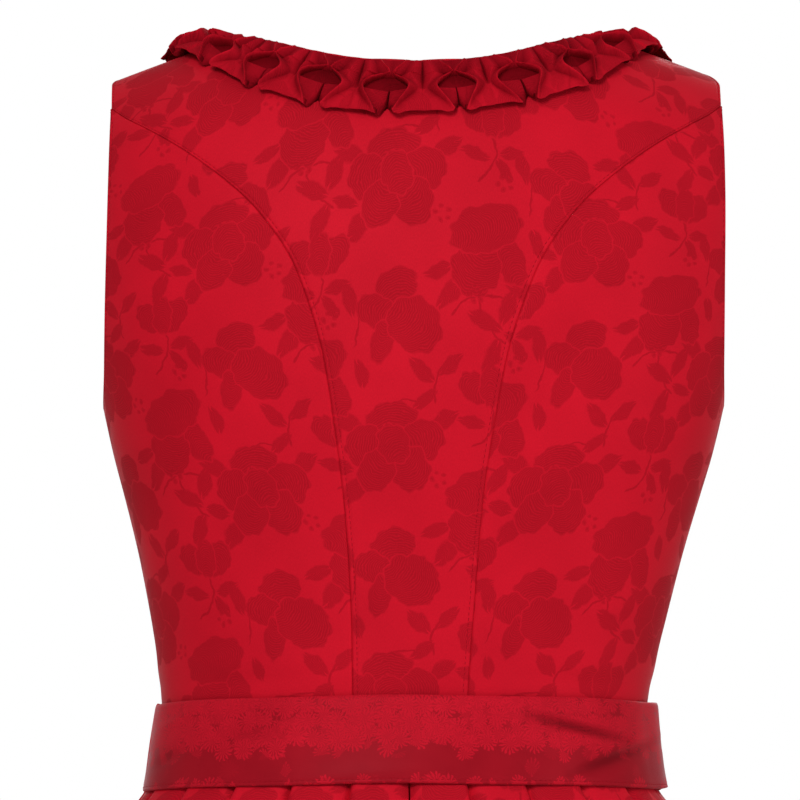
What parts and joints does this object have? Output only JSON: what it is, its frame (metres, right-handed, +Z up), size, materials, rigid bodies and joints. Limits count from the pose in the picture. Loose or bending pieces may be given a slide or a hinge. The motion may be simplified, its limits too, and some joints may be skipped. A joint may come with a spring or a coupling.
{
  "type": "dirndl",
  "caption": "Sleeveless dirndl with a scooped, ruched neckline, a princess-seamed bodice, a pleated skirt and a gathered apron tied in a bow, hollow as when it is worn.",
  "frame": {"origin": "midway between the shoulders, level with the shoulder ridge beside the neck", "axes": "+Z up, -Y the way the dress faces, +X towards the wearer's left"},
  "size_m": [0.6446, 0.5167, 1.0925],
  "materials": {
    "dress_cloth": "satin",
    "apron_cloth": "satin",
    "button_cloth": "satin"
  },
  "bodies": {
    "root": {"back_centre": "dress_cloth", "back_side_left": "dress_cloth", "back_side_right": "dress_cloth", "front_side_left": "dress_cloth", "front_side_right": "dress_cloth", "front_centre_left": "dress_cloth", "front_centre_right": "dress_cloth", "neck_ruche": "dress_cloth", "button_1": "button_cloth", "button_2": "button_cloth", "button_3": "button_cloth", "button_4": "button_cloth", "button_5": "button_cloth", "button_6": "button_cloth", "skirt_back_left": "dress_cloth", "skirt_back_right": "dress_cloth", "skirt_front_left": "dress_cloth", "skirt_front_right": "dress_cloth", "apron_band": "apron_cloth", "apron_tie_right": "apron_cloth", "apron_tie_left": "apron_cloth", "apron_skirt": "apron_cloth", "bow_knot": "apron_cloth", "bow_loop_left": "apron_cloth", "bow_loop_right": "apron_cloth", "bow_tail_left": "apron_cloth", "bow_tail_right": "apron_cloth"}
  },
  "joints": []
}
